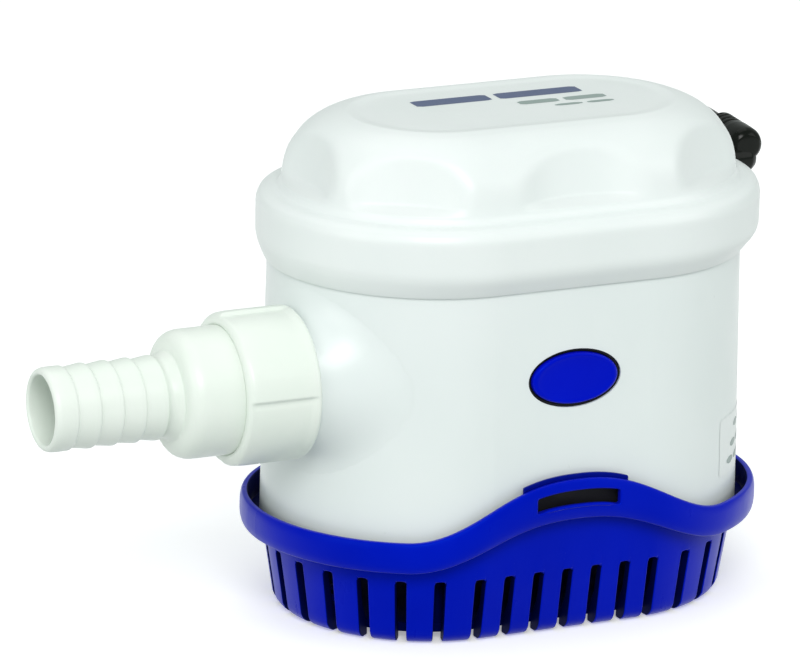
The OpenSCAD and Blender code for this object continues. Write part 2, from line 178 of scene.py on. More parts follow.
def station(u, c=END_C, ur=OVAL_R):
    """Centre and outward direction at u."""
    total = lap(c, ur)
    u = (u + total / 2) % total - total / 2
    s = 1 if u >= 0 else -1
    a = abs(u)
    if a <= c:
        return s * a, 0.0, -1.0
    a -= c
    if a <= math.pi * ur:
        t = a / ur
        return s * c, s * math.sin(t), -math.cos(t)
    a -= math.pi * ur
    return s * (c - a), 0.0, 1.0


def lap(c=END_C, ur=OVAL_R):
    """Length once round."""
    return 4 * c + 2 * math.pi * ur


def on_oval(u, r, z, c=END_C, ur=OVAL_R, dx=0.0):
    """Point at u, with r as the radius of the half turns."""
    cx, nx, ny = station(u, c, ur)
    return cx + r * nx + dx, r * ny, z


# The band and the edges next to it rise in a wave over the middle of both long sides
WAVE_HALF = 40.0
RISE = 12.0


def bump(x):
    """Share of the wave's rise at x: 1 at the middle, 0 from WAVE_HALF outwards."""
    return 0.5 + 0.5 * math.cos(math.pi * min(1.0, abs(x) / WAVE_HALF) ** 1.2)


# The housing's wall narrows by HOUSING_TAPER from HOUSING_LOW over HOUSING_H
HOUSING_R = 37.3
HOUSING_TAPER = 0.9
HOUSING_LOW = 19.5
HOUSING_H = 68.5


def housing_radius(z):
    return HOUSING_R - (z - HOUSING_LOW) * HOUSING_TAPER / HOUSING_H


# ---------------------------------------------------------------- materials


def nodes_of(name):
    """New material with its node tree and shader."""
    material = bpy.data.materials.new(name)
    material.use_nodes = True
    tree = material.node_tree
    return material, tree, tree.nodes["Principled BSDF"]


def noise(tree, vector, scale, detail, roughness=0.5):
    node = tree.nodes.new("ShaderNodeTexNoise")
    node.inputs["Scale"].default_value = scale
    node.inputs["Detail"].default_value = detail
    node.inputs["Roughness"].default_value = roughness
    tree.links.new(vector, node.inputs["Vector"])
    return node.outputs["Fac"]


def stretched(tree, vector, scale):
    node = tree.nodes.new("ShaderNodeMapping")
    node.inputs["Scale"].default_value = scale
    tree.links.new(vector, node.inputs["Vector"])
    return node.outputs["Vector"]


def mapped(tree, value, source, target):
    """Value carried from the range source to the range target."""
    node = tree.nodes.new("ShaderNodeMapRange")
    node.inputs["From Min"].default_value = source[0]
    node.inputs["From Max"].default_value = source[1]
    node.inputs["To Min"].default_value = target[0]
    node.inputs["To Max"].default_value = target[1]
    tree.links.new(value, node.inputs["Value"])
    return node.outputs["Result"]


def ramped(tree, value, low, high, ends=(0.0, 1.0)):
    """Colour that goes from low to high as value goes between the ends."""
    node = tree.nodes.new("ShaderNodeValToRGB")
    for element, colour, position in zip(node.color_ramp.elements, (low, high), ends):
        element.position = position
        element.color = (*colour, 1)
    tree.links.new(value, node.inputs["Fac"])
    return node.outputs["Color"]


def laid_over(tree, factor, under, colour):
    """Colour laid over another one as far as factor says."""
    node = tree.nodes.new("ShaderNodeMix")
    node.data_type = "RGBA"
    node.inputs["B"].default_value = (*colour, 1)
    tree.links.new(factor, node.inputs["Factor"])
    tree.links.new(under, node.inputs["A"])
    return node.outputs["Result"]


def relief(tree, shader, height, strength, depth):
    """Fine relief on the shader, with its depth in mm."""
    node = tree.nodes.new("ShaderNodeBump")
    node.inputs["Strength"].default_value = strength
    node.inputs["Distance"].default_value = depth * MM
    tree.links.new(height, node.inputs["Height"])
    tree.links.new(node.outputs["Normal"], shader.inputs["Normal"])


def moulded(name, low, high, rough=(0.25, 0.38), grain=900.0, grain_depth=0.02, spec=0.5, patch=38.0,
            subsurface=0.0, scuff=0.0, scuff_colour=None, tint=None):
    """Moulded plastic or rubber: slow colour drift, a fine satin grain and light wear."""
    material, tree, shader = nodes_of(name)
    on_part = tree.nodes.new("ShaderNodeTexCoord").outputs["Object"]
    colour = ramped(tree, noise(tree, on_part, patch, 3), low, high, (0.3, 0.7))
    wear = noise(tree, stretched(tree, on_part, (1.0, 1.0, 0.35)), 140.0, 6, 0.62)
    if scuff:
        scuffed = mapped(tree, wear, (0.56, 0.74), (0.0, scuff))
        colour = laid_over(tree, scuffed, colour, scuff_colour)
    tree.links.new(colour, shader.inputs["Base Color"])
    tree.links.new(mapped(tree, wear, (0.3, 0.7), rough), shader.inputs["Roughness"])
    relief(tree, shader, noise(tree, on_part, grain, 4), 0.35, grain_depth)
    shader.inputs["Specular IOR Level"].default_value = spec
    shader.inputs["IOR"].default_value = 1.49
    if tint:
        shader.inputs["Specular Tint"].default_value = (*tint, 1)
    if subsurface:
        shader.inputs["Subsurface Weight"].default_value = subsurface
        shader.inputs["Subsurface Radius"].default_value = (0.003, 0.0034, 0.003)
        shader.inputs["Subsurface Scale"].default_value = 1.0
    return material


def metal(name, colour, rough=(0.22, 0.4), brushed=(1, 1, 30)):
    """Metal with streaks that run square to the axis brushed most."""
    material, tree, shader = nodes_of(name)
    on_part = tree.nodes.new("ShaderNodeTexCoord").outputs["Object"]
    streaks = noise(tree, stretched(tree, on_part, brushed), 300.0, 5)
    dark = [channel * 0.75 for channel in colour]
    tree.links.new(ramped(tree, streaks, dark, colour), shader.inputs["Base Color"])
    tree.links.new(mapped(tree, streaks, (0.0, 1.0), rough), shader.inputs["Roughness"])
    relief(tree, shader, streaks, 0.3, 0.02)
    shader.inputs["Metallic"].default_value = 1.0
    return material


BROWN = (0.12, 0.045, 0.018), (0.17, 0.07, 0.028)


def striped_core():
    """Brown insulation with a pale stripe along its top."""
    material = moulded("striped insulation", *BROWN, rough=(0.3, 0.4))
    tree = material.node_tree
    shader = tree.nodes["Principled BSDF"]
    plain = shader.inputs["Base Color"].links[0].from_socket
    axes = tree.nodes.new("ShaderNodeSeparateXYZ")
    tree.links.new(tree.nodes.new("ShaderNodeTexCoord").outputs["Normal"], axes.inputs["Vector"])
    stripe = mapped(tree, axes.outputs["Z"], (0.86, 0.9), (0.0, 1.0))
    tree.links.new(laid_over(tree, stripe, plain, (0.7, 0.68, 0.62)), shader.inputs["Base Color"])
    return material


LOOK = {
    # blue parts, whose gloss is tinted because the picture's highlights on them stay blue
    "base": moulded("base blue", (0.0003, 0.0055, 0.42), (0.0004, 0.0075, 0.49), rough=(0.26, 0.40),
                    grain=1100, spec=0.26, tint=(0.02, 0.16, 1.0), scuff=0.06,
                    scuff_colour=(0.004, 0.016, 0.52)),
    # darker copy of the base blue: painted shade on inner faces, low slot sides, the floor plate, posts and
    # ledge
    "inside": moulded("base blue painted shade", (0.0003, 0.002, 0.055), (0.0004, 0.003, 0.075), rough=(0.4, 0.55),
                      grain=1100, spec=0.1, tint=(0.02, 0.14, 1.0)),
    # darker than the base blue, as painted shade on the tabs that stand behind the band
    "latch": moulded("latch blue painted shade", (0.0006, 0.003, 0.17), (0.001, 0.005, 0.22), rough=(0.35, 0.5), spec=0.2,
                     tint=(0.02, 0.14, 1.0)),
    "button": moulded("button blue", (0.0003, 0.003, 0.48), (0.0004, 0.005, 0.55), rough=(0.26, 0.36),
                      grain=1400, spec=0.35, tint=(0.02, 0.14, 1.0)),
    # black for sheets of painted shadow: behind the band's windows and round the button
    "shadow_sheet": moulded("painted shadow black", (0.004, 0.004, 0.006), (0.007, 0.007, 0.010), rough=(0.5, 0.7),
                      spec=0.2),
    # print
    "ink": moulded("printed blue grey", (0.055, 0.085, 0.19), (0.07, 0.10, 0.22), rough=(0.3, 0.4),
                   patch=60, spec=0.4),
    "text_grey": moulded("printed dark grey", (0.26, 0.34, 0.32), (0.30, 0.38, 0.36), rough=(0.32, 0.42),
                         patch=60, spec=0.4),
    "sticker": moulded("sticker", (0.80, 0.85, 0.84), (0.84, 0.88, 0.872), rough=(0.3, 0.4), patch=60,
                       spec=0.4),
    # white parts
    "white": moulded("housing white", (0.775, 0.835, 0.825), (0.815, 0.865, 0.858), rough=(0.27, 0.40),
                     patch=24, grain=1300, grain_depth=0.012, subsurface=0.06, scuff=0.05,
                     scuff_colour=(0.66, 0.72, 0.71)),
    "lid": moulded("lid white", (0.80, 0.85, 0.84), (0.84, 0.88, 0.872), rough=(0.28, 0.42), patch=26,
                   grain=1200, grain_depth=0.014, subsurface=0.06, scuff=0.05,
                   scuff_colour=(0.68, 0.73, 0.72)),
    "fitting": moulded("fitting white", (0.80, 0.875, 0.80), (0.85, 0.90, 0.84), rough=(0.28, 0.42), patch=40,
                       grain=1300, grain_depth=0.012, subsurface=0.10, scuff=0.05,
                       scuff_colour=(0.70, 0.78, 0.70)),
    "inner": moulded("natural white", (0.62, 0.66, 0.65), (0.70, 0.73, 0.72), rough=(0.45, 0.6)),
    # rubber, lead and cores
    "rubber": moulded("black rubber", (0.008, 0.009, 0.008), (0.016, 0.018, 0.016), rough=(0.42, 0.6),
                      grain=800, grain_depth=0.03, scuff=0.15, scuff_colour=(0.05, 0.055, 0.05)),
    "gland": moulded("gland black", (0.002, 0.003, 0.002), (0.004, 0.006, 0.004), rough=(0.14, 0.24),
                     grain=700, spec=0.16, scuff=0.2, scuff_colour=(0.010, 0.014, 0.010)),
    "jacket": moulded("lead jacket", (0.010, 0.011, 0.010), (0.018, 0.020, 0.018), rough=(0.3, 0.45),
                      scuff=0.2, scuff_colour=(0.05, 0.05, 0.05)),
    "brown": moulded("brown insulation", *BROWN, rough=(0.3, 0.4)),
    "striped": striped_core(),
    "black_core": moulded("black insulation", (0.012, 0.012, 0.012), (0.02, 0.02, 0.02), rough=(0.3, 0.4)),
    # parts inside
    "float": moulded("float foam", (0.07, 0.13, 0.5), (0.1, 0.17, 0.56), rough=(0.6, 0.8), grain=700,
                     grain_depth=0.08),
    "chips": moulded("moulded epoxy", (0.02, 0.02, 0.02), (0.035, 0.035, 0.035), rough=(0.5, 0.65)),
    "board": moulded("circuit board", (0.012, 0.14, 0.045), (0.02, 0.19, 0.065), rough=(0.25, 0.4),
                     patch=300),
    "ferrite": moulded("ferrite", (0.05, 0.05, 0.055), (0.09, 0.09, 0.1), rough=(0.6, 0.75), grain=600),
    "carbon": moulded("carbon", (0.03, 0.03, 0.033), (0.05, 0.05, 0.055), rough=(0.55, 0.7)),
    "steel": metal("steel", (0.62, 0.63, 0.65)),
    "zinc": metal("zinc plated steel", (0.55, 0.57, 0.6), rough=(0.3, 0.5), brushed=(1, 1, 6)),
    "laminations": metal("laminations", (0.25, 0.26, 0.28), rough=(0.4, 0.6), brushed=(0.2, 0.2, 12)),
    "copper": metal("enamelled copper", (0.65, 0.28, 0.12), rough=(0.2, 0.35), brushed=(1, 1, 10)),
    "bronze": metal("bronze", (0.6, 0.42, 0.2), rough=(0.4, 0.55), brushed=(1, 1, 1)),
}

CAD_LOOK = {
    "strainer_base": "base", "release_band_front": "base", "release_band_rear": "base",
    "latch_front": "latch", "latch_rear": "latch", "pump_housing": "white", "lid": "lid",
    "lid_seal": "rubber", "volute": "inner",
    "float_retainer": "inner", "float": "float", "float_magnet": "ferrite", "shaft": "steel",
    "armature_core": "laminations", "windings": "copper", "commutator": "copper", "impeller": "base",
    "motor_can": "zinc", "motor_end_cap": "inner", "magnets": "ferrite", "upper_bearing": "bronze",
    "lower_bearing": "bronze", "shaft_seal": "rubber", "brushes": "carbon", "brush_springs": "steel",
    "control_board": "board", "board_parts": "chips", "test_button": "button", "button_spring": "steel",
    "union_nut": "fitting", "hose_barb": "fitting", "outlet_o_ring": "rubber", "check_flap": "rubber",
    "flap_pin": "steel", "cable_gland": "gland", "rating_label": "lid", "top_label": "lid", "cord": "jacket",
    "cord_coil": "jacket", "core_brown": "brown", "core_striped": "striped", "core_black": "black_core",
}
for node_name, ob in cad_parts.items():
    if node_name in CAD_LOOK:
        ob.data.materials.clear()
        ob.data.materials.append(LOOK[CAD_LOOK[node_name]])

# ---------------------------------------------------------------- lead

CORD_R = 3.0
lead_route = [[66.2, 21, 98.6], [66.2, 26, 99], [66.5, 31, 99.1], [67.5, 38.2, 98.2], [68.6, 44.5, 95.6],
    [69.8, 49.9, 91.5], [70.8, 54, 86.1], [71.4, 56.4, 80.5], [72.2, 59.6, 70.3], [73, 62.8, 60],
    [73.8, 65.9, 49.8], [74.6, 69.1, 39.6], [75.1, 71.5, 34], [75.9, 75.3, 28.9], [76.9, 80.6, 24.7],
    [77.7, 87.3, 21.9], [78, 94, 21]]
tail_route = [[18, 94, 3], [17.8, 88, 3], [17.2, 82, 3], [16.6, 76, 3], [16, 70, 3]]
COIL_X, COIL_Y, COIL_R = 48.0, 94.0, 30.0
TURNS = 3.5
TURN_STEPS = 24
CURVE_STEPS = 4


def coil_z(t):
    """Height of the lead's middle, t turns before the coil's lower end."""
    return CORD_R + 2 * CORD_R * sum(ease(k - 0.16, k + 0.16, t) for k in (1, 2, 3))


def lead_points():
    """The whole route; the coil's loop gives the point where each of the two lists meets it."""
    points = [tuple(p) for p in lead_route[:-1]]
    steps = int(TURNS * TURN_STEPS)
    for k in range(steps + 1):
        t = TURNS * k / steps
        a = 2 * math.pi * t
        points.append((COIL_X + COIL_R * math.cos(a), COIL_Y + COIL_R * math.sin(a), coil_z(TURNS - t)))
    return points + [tuple(p) for p in tail_route[1:]]


def curved(points):
    """Smooth curve through the points, with CURVE_STEPS steps between each two."""
    path = [Vector(p) for p in points]
    path = [path[0] * 2 - path[1]] + path + [path[-1] * 2 - path[-2]]
    out = []
    for i in range(1, len(path) - 2):
        p0, p1, p2, p3 = path[i - 1:i + 3]
        d0, d1, d2 = (max((b - a).length, 1e-6) for a, b in ((p0, p1), (p1, p2), (p2, p3)))
        m1 = ((p1 - p0) / d0 + (p2 - p1) / d1) * 0.5 * d1
        m2 = ((p2 - p1) / d1 + (p3 - p2) / d2) * 0.5 * d1
        for k in range(CURVE_STEPS):
            t = k / CURVE_STEPS
            out.append((2 * t**3 - 3 * t**2 + 1) * p1 + (t**3 - 2 * t**2 + t) * m1
                       + (-2 * t**3 + 3 * t**2) * p2 + (t**3 - t**2) * m2)
    out.append(path[-2])
    return [tuple(p) for p in out]


def curve_tube(name, points, r, body, mat, replaces=()):
    """Round tube along a smooth curve through the points."""
    cu = bpy.data.curves.new(name, "CURVE")
    cu.dimensions = "3D"
    spline = cu.splines.new("POLY")
    dense = curved(points)
    spline.points.add(len(dense) - 1)
    for target, p in zip(spline.points, dense):
        target.co = (p[0] * MM, p[1] * MM, p[2] * MM, 1)
    cu.bevel_depth = r * MM
    cu.bevel_resolution = 5
    cu.use_fill_caps = True
    spline.use_smooth = True
    cu.materials.append(mat)
    ob = bpy.data.objects.new(name, cu)
    scene.collection.objects.link(ob)
    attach(ob, body)
    if replaces:
        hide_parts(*replaces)
    return ob


route = lead_points()
lead = curve_tube("lead", route, CORD_R, "pump", LOOK["jacket"], ("cord", "cord_coil"))
lead_curve = curved(route)
lead_length = sum(math.dist(a, b) for a, b in zip(lead_curve[:-1], lead_curve[1:]))

CORES = (("core_brown", "brown", "core_brown_pvc"), ("core_striped", "striped", "core_striped_pvc"),
         ("core_black", "black_core", "core_black_pvc"))
for k, (node_name, look, slot_name) in enumerate(CORES, start=-1):
    # the three cores fan out from the end of the jacket, k being -1, 0 and 1
    end_x = tail_route[-1][0]
    wire = [(end_x + 1.2 * k, 71, 3), (end_x + 2.4 * k, 66, 2.4), (end_x + 5 * k, 58, 1.4),
            (end_x + 7.2 * k, 52.2, 1.25)]
    strand = [(end_x + 7.2 * k, 52.6, 1.25), (end_x + 7.6 * k, 51.3, 1.2), (end_x + 8 * k, 50.1, 1.2)]
    curve_tube("wire_" + node_name, wire, 1.0, "pump", LOOK[look], (node_name,))
    curve_tube("bare_" + node_name, strand, 0.62, "pump", LOOK["copper"])

TIE_AT = rad(250)
TIE_MID = 9.1
TIE_HALF_W = 2.2
TIE_T = 0.8


def tie():
    """Tie round one side of the coil: a band about the stack of turns."""
    c, s = math.cos(TIE_AT), math.sin(TIE_AT)
    middle = Vector((COIL_X + COIL_R * c, COIL_Y + COIL_R * s, 0))
    outward = Vector((c, s, 0))
    along = Vector((-s, c, 0))
    loop = []
    for angle in range(0, 360, 10):
        across, rise = math.cos(rad(angle)), math.sin(rad(angle))
        x = 3.25 * math.copysign(abs(across) ** 0.55, across)
        z = 9.0 * math.copysign(min(1, abs(rise)) ** 0.42, rise) + TIE_MID
        loop.append((x, max(0.35, z)))
    rows = []
    for offset, grow in ((-TIE_HALF_W, 0.0), (-TIE_HALF_W, TIE_T), (TIE_HALF_W, TIE_T), (TIE_HALF_W, 0.0)):
        row = []
        lowest = 0.05 if grow else 0.35
        for x, z in loop:
            spot = middle + outward * (x * (1 + grow / 3.6)) + along * offset
            row.append((spot.x, spot.y, max(lowest, TIE_MID + (z - TIE_MID) * (1 + grow / 11))))
        rows.append(row)
    ob = piece("coil_tie", *grid(rows, close_v=True), "pump", "black_rubber", LOOK["rubber"])
    soften(ob, 0.2, 50)
    return ob


band_tie = tie()

# ---------------------------------------------------------------- lid

SEAM_R = 36.72
RIM = 39.9
DOME = 34.2
SHOULDER = 98.0
TOP = 115.7
RECESS = 0.28
LID_X = 0.8          # the rim and dome sit this far towards the lead's end

# Finger hollows round the dome: HOLLOW_R is the least radius, at HOLLOW_Z, and HOLLOW_LEAN its change with
# height; SIDE_EDGE and END_EDGE are the radii at half a hollow's width from its middle
HOLLOW_R = 30.7
HOLLOW_Z = 101.0
HOLLOW_LEAN = 0.25
SIDE_EDGE = 33.8
END_EDGE = 31.55
HOLLOW_BLEND = 1.4


def lid_outline():
    """(r, z) of the outside, from under the rim to the middle of the top."""
    recessed = TOP - RECESS
    points = [(SEAM_R, 84.2), (SEAM_R, 82.15), (37.1, 82.1), (RIM, 86.6), (RIM, SHOULDER - 2.7),
              (RIM - 0.8, SHOULDER - 1.0), (RIM - 2.4, SHOULDER - 0.2), (RIM - 3.8, SHOULDER),
              (DOME + 0.9, SHOULDER + 0.15), (DOME + 0.1, SHOULDER + 1.4), (DOME - 0.4, SHOULDER + 5.8),
              (DOME - 1.5, SHOULDER + 9.2), (DOME - 4.8, TOP - 4.1), (DOME - 8.3, TOP - 1.9),
              (DOME - 11.6, TOP - 0.6), (DOME - 14.4, TOP), (19.2, TOP), (18.2, TOP - 0.1),
              (16.8, recessed), (12.0, recessed), (6.0, recessed), (0.0, recessed)]
    radii = [0, 0.1, 0.3, 1.8, 0.8, 0.6, 0.8, 1.0, 0.7, 0.9, 2, 2, 2.4, 2.4, 2, 1.2, 0.5, 0.6, 0.6, 0, 0, 0]
    return refine(fillet(points, radii, 5), 0.8)


def side_cut(across, half, deep):
    """Radius of a hollow in a straight side, or None past its reach."""
    if abs(across) > 19:
        return None
    return deep + (SIDE_EDGE - HOLLOW_R) * (across / half) ** 2


def end_cut(across, half, deep):
    """Radius of a hollow in a round end: where a ray from the end's centre meets a parabola."""
    phi = across / OVAL_R
    if abs(phi) > 0.55:
        return None
    bend = (END_EDGE - HOLLOW_R) / half ** 2
    c, s2 = math.cos(phi), math.sin(phi) ** 2
    if s2 < 1e-6:
        return deep / c
    inside_root = c * c - 4 * bend * s2 * deep
    if inside_root <= 0:
        return None
    return (c - math.sqrt(inside_root)) / (2 * bend * s2)


# middle along the outline, half width and kind of each hollow: one on each side, three round each end
HOLLOWS = [(2.0, 14.0, side_cut), (lap() / 2 - 2.0, 14.0, side_cut)]
for end in (-1, 1):
    for angle in (-55, 0, 55):
        HOLLOWS.append((end * (END_C + OVAL_R * rad(90 + angle)), 12.1, end_cut))


def hollowed(u, r, z):
    """Radius after the finger hollows, each an upright trough above a ledge, leaning with the dome."""
    if z < SHOULDER + 2.2 or z > TOP - 1.0:
        return r
    deep = HOLLOW_R - HOLLOW_LEAN * (z - HOLLOW_Z)
    least = r
    for middle, half, cut_at in HOLLOWS:
        across = (u - middle + lap() / 2) % lap() - lap() / 2
        cut = cut_at(across, half, deep)
        if cut is None:
            continue
        share = max(0.0, min(1.0, 0.5 + 0.5 * (least - cut) / HOLLOW_BLEND))
        mixed = least * (1 - share) + cut * share - HOLLOW_BLEND * share * (1 - share)
        least = min(least, mixed)
    return r + (least - r) * ease(SHOULDER + 2.2, SHOULDER + 2.9, z)


def build_lid():
    steps = 480
    us = [lap() * k / steps for k in range(steps)]
    outside = []
    for r, z in lid_outline():
        outside.append([on_oval(u, hollowed(u, r, z), z, dx=LID_X * ease(82, 87, z)) for u in us])
    # the underside, up to the ceiling of the cavity
    cavity = [(SEAM_R, 84.2), (SEAM_R, 89.9), (32.0, 90.0), (32.0, 96.0), (28.6, 99.0), (27.6, 104.0),
              (25.0, 108.6), (18.4, 111.8), (0.0, 111.8)]
    underside = [[on_oval(u, r, z) for u in us[::4]] for r, z in fillet(cavity, 0.8, 3)]
    piece("lid_shell", *joined(grid(outside), grid(underside)), "pump", "lid_plastic", LOOK["lid"], ("lid",))


build_lid()

# ---------------------------------------------------------------- print and sticker

LABEL_FROM, LABEL_TO = 42.7, 78.0          # along the outline
LABEL_LOW, LABEL_HIGH = 30.4, 44.2


def printed(name, point, spans, lift, mat, replaces=()):
    """Plain printed bars: each span is (a0, a1, b0, b1) on the surface point(a, b, lift)."""
    step = 1.2
    parts = []
    for a0, a1, b0, b1 in spans:
        n = max(2, int((a1 - a0) / step))
        corner = min(0.5, (b1 - b0) * 0.3)
        rows = []
        for k in range(n + 1):
            a = a0 + (a1 - a0) * k / n
            pull = corner * max(0.0, 1 - min(a - a0, a1 - a) / step) ** 2
            rows.append([point(a, b0 + pull + (b1 - b0 - 2 * pull) * j / 3, lift) for j in range(4)])
        parts.append(grid(rows, close_u=False))
    piece(name, *joined(*parts), "pump", "label", mat, replaces, merge=0)


def lid_point(a, b, lift):
    """Point on the lid's recessed top."""
    return a + LID_X, b, TOP - RECESS + lift


def body_point(a, b, lift):
    """Point on the housing's wall, a along the outline and b up."""
    return on_oval(a, housing_radius(b) + lift, b)


def label_bars():
    """Three lines of bars that stand for the sticker's text."""
    bars = []
    for z, start in ((36.0, 49.3), (32.4, 47.0), (40.2, 52.0)):
        a = start
        for length in (4.6, 6.2, 3.4, 7.0, 5.2):
            if a + length < LABEL_TO - 1.5:
                bars.append((a, a + length, z, z + 1.7))
            a += length + 0.9
    return bars


LONG_MARKS = [(-21, -2, 5.2, 10.2), (0, 21, 5.2, 10.2)]
SHORT_MARKS = [(2, 12, -1.2, 1.8), (13.6, 24, -1.2, 1.8), (9, 16, -5.0, -3.4), (17.2, 24, -5.0, -3.4)]
STICKER = [(LABEL_FROM, LABEL_TO, LABEL_LOW, LABEL_HIGH)]
printed("lid_mark_long", lid_point, LONG_MARKS, 0.03, LOOK["ink"], ("top_label",))
printed("lid_mark_short", lid_point, SHORT_MARKS, 0.03, LOOK["text_grey"])
printed("side_label", body_point, STICKER, 0.05, LOOK["sticker"], ("rating_label",))
printed("side_label_bars", body_point, label_bars(), 0.08, LOOK["text_grey"])

# ---------------------------------------------------------------- walls with openings


def no_hole(i, j):
    return False


def slab(name, us, vs, outer, inner, hole, body, slot, mat, replaces=(), close=False, edge=0.3, segments=2,
         angle=38):
    """Closed wall between an outer and an inner surface, open where hole(i, j) is true."""
    n, m = len(us), len(vs)
    verts = [surface(i, j) for surface in (outer, inner) for i in range(n) for j in range(m)]

    def out(i, j):
        return (i % n) * m + j

    def inw(i, j):
        return n * m + out(i, j)

    cells = n if close else n - 1
    full = {(i, j) for i in range(cells) for j in range(m - 1) if not hole(i, j)}
    faces = []
    for i, j in sorted(full):
        faces.append((out(i, j), out(i + 1, j), out(i + 1, j + 1), out(i, j + 1)))
        faces.append((inw(i, j), inw(i, j + 1), inw(i + 1, j + 1), inw(i + 1, j)))
        before = ((i - 1) % n if close else i - 1, j)
        after = ((i + 1) % n if close else i + 1, j)
        if before not in full:
            faces.append((out(i, j), out(i, j + 1), inw(i, j + 1), inw(i, j)))
        if after not in full:
            faces.append((out(i + 1, j), inw(i + 1, j), inw(i + 1, j + 1), out(i + 1, j + 1)))
        if (i, j - 1) not in full:
            faces.append((out(i, j), inw(i, j), inw(i + 1, j), out(i + 1, j)))
        if (i, j + 1) not in full:
            faces.append((out(i, j + 1), out(i + 1, j + 1), inw(i + 1, j + 1), inw(i, j + 1)))
    used = sorted({k for face in faces for k in face})
    index = {k: new for new, k in enumerate(used)}
    kept_faces = [tuple(index[k] for k in face) for face in faces]
    ob = piece(name, [verts[k] for k in used], kept_faces, body, slot, mat, replaces)
    soften(ob, edge, angle, segments)
    return ob


def bevel_sharp_edges(ob, angle):
    """Bevel only the edges sharper than angle, and keep the ends on the middle plane square."""
    me = ob.data
    bm = bmesh.new()
    bm.from_mesh(me)
    layers = bm.edges.layers.float
    weight = layers.get("bevel_weight_edge") or layers.new("bevel_weight_edge")
    for e in bm.edges:
        if all(abs(v.co.y) < 0.03 * MM for v in e.verts):
            e.smooth = False
        elif len(e.link_faces) == 2 and e.calc_face_angle(0.0) > rad(angle):
            e[weight] = 1.0
    bm.to_mesh(me)
    bm.free()
    ob.modifiers["edges"].limit_method = "WEIGHT"


def shade_inside(ob, mat, sides_below=0.0):
    """Second material, a darker blue as painted shade, on the faces that look inward and on the slots' sides
    below a height.
    """
    ob.data.materials.append(mat)
    for face in ob.data.polygons:
        c = face.center / MM
        out = Vector((c.x - max(-END_C, min(END_C, c.x)), c.y, 0))
        if out.length < 1:
            continue
        facing = face.normal.dot(out.normalized())
        upright_side = abs(facing) < 0.5 and abs(face.normal.z) < 0.5
        if facing < -0.5 or (upright_side and c.z < sides_below):
            face.material_index = 1


# ---------------------------------------------------------------- squeeze band

BAND_R = 41.0
BAND_C = 20.6
BAND_T = 1.8
BAND_LOW = 18.8
BAND_HIGH = 26.0
LOW_RISE = RISE - 2.2
WINDOW_X = 10.4


def band_low(x):
    return BAND_LOW + LOW_RISE * bump(x)


def band_high(x):
    return BAND_HIGH + RISE * bump(x)


def evenly(half, steps):
    """Places from -half to half."""
    return [-half + 2 * half * k / steps for k in range(steps + 1)]


def band(side, where):
    """One half of the squeeze band with its window; side is -1 for the front, 1 for the rear."""
    quarter = BAND_C + BAND_R * math.pi / 2 - 0.01
    us, u = [], -quarter
    while u < quarter:
        us.append(u)
        u += 1.6
    marks = [-WINDOW_X, -9.6, -8.6, 8.6, 9.6, WINDOW_X]
    us = sorted(us + [quarter] + marks)
    us = [u for k, u in enumerate(us) if k == 0 or u - us[k - 1] > 0.35 or u in marks or u == quarter]
    vs = [0.0, 0.12, 0.24, 0.37, 0.55, 0.745, 0.88, 1.0]
    window_rows = (3, 4)

    def point(u, v, r):
        cx, nx, ny = station(u, BAND_C, BAND_R)
        x, y = cx + r * nx, r * ny
        return x, -side * y, band_low(x) + (band_high(x) - band_low(x)) * v

    def outer(i, j):
        # a shallow crown across the band's face, and a slight fall to its lower edge
        crown = 0.55 * (2 * vs[j] - 1) ** 4
        return point(us[i], vs[j], BAND_R - crown - 0.5 * max(0.0, 0.35 - vs[j]))

    def inner(i, j):
        return point(us[i], vs[j], BAND_R - BAND_T)

    def hole(i, j):
        return j in window_rows and -WINDOW_X - 0.01 <= us[i] < WINDOW_X - 0.01

    ob = slab("band_" + where, us, vs, outer, inner, hole, "band_" + where, "base_plastic", LOOK["base"],
              ("release_band_" + where,), edge=0.42, segments=3)
    # the band's inner faces take the darker blue, painted shade
    shade_inside(ob, LOOK["inside"])
    bevel_sharp_edges(ob, 38)


def lip(side, where):
    """Raised edge under the window, thinner towards both ends."""
    half, steps, around = 9.4, 24, 12
    rows = []
    for x in evenly(half, steps):
        middle = band_low(x) + (band_high(x) - band_low(x)) * 0.355
        size = 0.25 + 0.75 * ease(0, 2.0, half - abs(x))
        row = []
        for k in range(around):
            c, s = turn(k, around)
            row.append((x, side * (BAND_R - 0.25 + 0.5 * size * c), middle + 0.42 * size * s))
        rows.append(row)
    verts, faces = grid(rows)
    caps = [tuple(range(around)), tuple(range(steps * around, (steps + 1) * around))]
    piece("lip_" + where, verts, faces + caps, "band_" + where, "base_plastic", LOOK["base"])


def latch(side, where):
    """Latch tab that stands behind the band's crest, in a darker blue as painted shade."""
    us = evenly(13.2, 26)
    vs = [0.0, 0.5, 1.0]

    def point(i, j, depth):
        low, high = band_high(us[i]) - 2.4, band_high(us[i]) + 0.95
        return us[i], side * depth, low + (high - low) * vs[j]

    slab("tab_" + where, us, vs, lambda i, j: point(i, j, 39.2), lambda i, j: point(i, j, 38.25), no_hole,
         "band_" + where, "latch_plastic", LOOK["latch"], ("latch_" + where,))


def shadow_sheet(side, where):
    """Black sheet behind the window of the band, painted shadow for the deep mouth where the latch hooks in.
    """
    us = evenly(11.6, 24)

    def point(i, j, depth):
        return us[i], side * depth, band_low(us[i]) + 1.2 + 7.0 * j

    slab("pocket_" + where, us, [0, 1], lambda i, j: point(i, j, 38.1), lambda i, j: point(i, j, 37.7),
         no_hole, "base", "base_plastic", LOOK["shadow_sheet"], edge=0.1)


for side, where in ((-1, "front"), (1, "rear")):
    band(side, where)
    latch(side, where)
    shadow_sheet(side, where)
    lip(side, where)

# ---------------------------------------------------------------- strainer base

